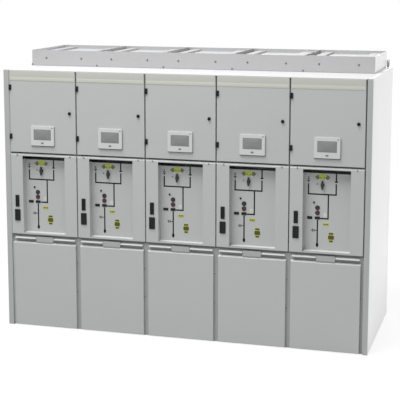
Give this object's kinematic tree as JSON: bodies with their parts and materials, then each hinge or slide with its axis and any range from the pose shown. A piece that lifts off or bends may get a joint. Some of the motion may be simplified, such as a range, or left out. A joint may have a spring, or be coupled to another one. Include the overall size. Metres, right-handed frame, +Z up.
{
  "type": "gas-insulated switchgear",
  "caption": "Row of medium-voltage switchgear panels with hinged control doors, recessed operating fronts, cable covers and a relief duct on the roof.",
  "frame": {"origin": "bottom centre of the whole box, on the floor", "axes": "+X along the row, to the right for someone facing the doors; +Y from the doors to the rear; +Z up"},
  "size_m": [3.095, 1.253, 2.336],
  "materials": {
    "front_paint": "satin",
    "white_paint": "satin",
    "frame_paint": "satin",
    "duct_paint": "satin",
    "inner_steel": "plain",
    "bright_steel": "plain",
    "black_plastic": "plain",
    "red_plastic": "plain",
    "scale_label": "plain",
    "display_frame": "plain"
  },
  "bodies": {
    "line_up": {"base_sills": "frame_paint", "cross_sills": "frame_paint", "front_posts": "frame_paint", "front_rails": "frame_paint", "panel_side_sheets": "inner_steel", "side_walls": "white_paint", "end_profiles": "frame_paint", "rear_panels": "front_paint", "roof_panels": "white_paint", "lv_floor_plates": "inner_steel", "lv_mounting_plates": "inner_steel", "busbar_tanks": "inner_steel", "breaker_tanks": "inner_steel", "mechanism_covers": "front_paint", "operating_plates": "front_paint", "selector_scales": "scale_label", "on_buttons": "black_plastic", "off_buttons": "red_plastic", "position_indicators": "black_plastic", "key_switches": "black_plastic", "voltage_sockets": "black_plastic", "voltage_displays": "black_plastic", "cover_rails": "frame_paint", "rail_lips": "front_paint", "rail_tabs": "front_paint", "cable_covers": "front_paint", "hinge_brackets": "black_plastic", "duct_long_walls": "duct_paint", "duct_end_walls": "white_paint", "duct_partitions": "duct_paint", "duct_trays": "white_paint", "flap_bars": "duct_paint", "relief_flaps": "white_paint", "lifting_lugs": "bright_steel"},
    "door_1": {"lv_door_1": "front_paint", "door_fittings_1": "black_plastic", "display_unit_1": "display_frame"},
    "selector_1": {"selector_handle_1": "black_plastic"},
    "door_2": {"lv_door_2": "front_paint", "door_fittings_2": "black_plastic", "display_unit_2": "display_frame"},
    "selector_2": {"selector_handle_2": "black_plastic"},
    "door_3": {"lv_door_3": "front_paint", "door_fittings_3": "black_plastic", "display_unit_3": "display_frame"},
    "selector_3": {"selector_handle_3": "black_plastic"},
    "door_4": {"lv_door_4": "front_paint", "door_fittings_4": "black_plastic", "display_unit_4": "display_frame"},
    "selector_4": {"selector_handle_4": "black_plastic"},
    "door_5": {"lv_door_5": "front_paint", "door_fittings_5": "black_plastic", "display_unit_5": "display_frame"},
    "selector_5": {"selector_handle_5": "black_plastic"}
  },
  "joints": [
    {"name": "door_1_hinge", "type": "hinge", "parent": "line_up", "child": "door_1", "pos_m": [-1.492, -0.62, 1.847], "axis": [0, 0, -1], "range_deg": [0, 95]},
    {"name": "selector_1_turn", "type": "hinge", "parent": "line_up", "child": "selector_1", "pos_m": [-1.24294, -0.5535, 1.344], "axis": [0, 1, 0], "range_deg": [-45, 45]},
    {"name": "door_2_hinge", "type": "hinge", "parent": "line_up", "child": "door_2", "pos_m": [-0.892, -0.62, 1.847], "axis": [0, 0, -1], "range_deg": [0, 95]},
    {"name": "selector_2_turn", "type": "hinge", "parent": "line_up", "child": "selector_2", "pos_m": [-0.64294, -0.5535, 1.344], "axis": [0, 1, 0], "range_deg": [-45, 45]},
    {"name": "door_3_hinge", "type": "hinge", "parent": "line_up", "child": "door_3", "pos_m": [-0.292, -0.62, 1.847], "axis": [0, 0, -1], "range_deg": [0, 95]},
    {"name": "selector_3_turn", "type": "hinge", "parent": "line_up", "child": "selector_3", "pos_m": [-0.04294, -0.5535, 1.344], "axis": [0, 1, 0], "range_deg": [-45, 45]},
    {"name": "door_4_hinge", "type": "hinge", "parent": "line_up", "child": "door_4", "pos_m": [0.308, -0.62, 1.847], "axis": [0, 0, -1], "range_deg": [0, 95]},
    {"name": "selector_4_turn", "type": "hinge", "parent": "line_up", "child": "selector_4", "pos_m": [0.55706, -0.5535, 1.344], "axis": [0, 1, 0], "range_deg": [-45, 45]},
    {"name": "door_5_hinge", "type": "hinge", "parent": "line_up", "child": "door_5", "pos_m": [0.908, -0.62, 1.847], "axis": [0, 0, -1], "range_deg": [0, 95]},
    {"name": "selector_5_turn", "type": "hinge", "parent": "line_up", "child": "selector_5", "pos_m": [1.15706, -0.5535, 1.344], "axis": [0, 1, 0], "range_deg": [-45, 45]}
  ]
}
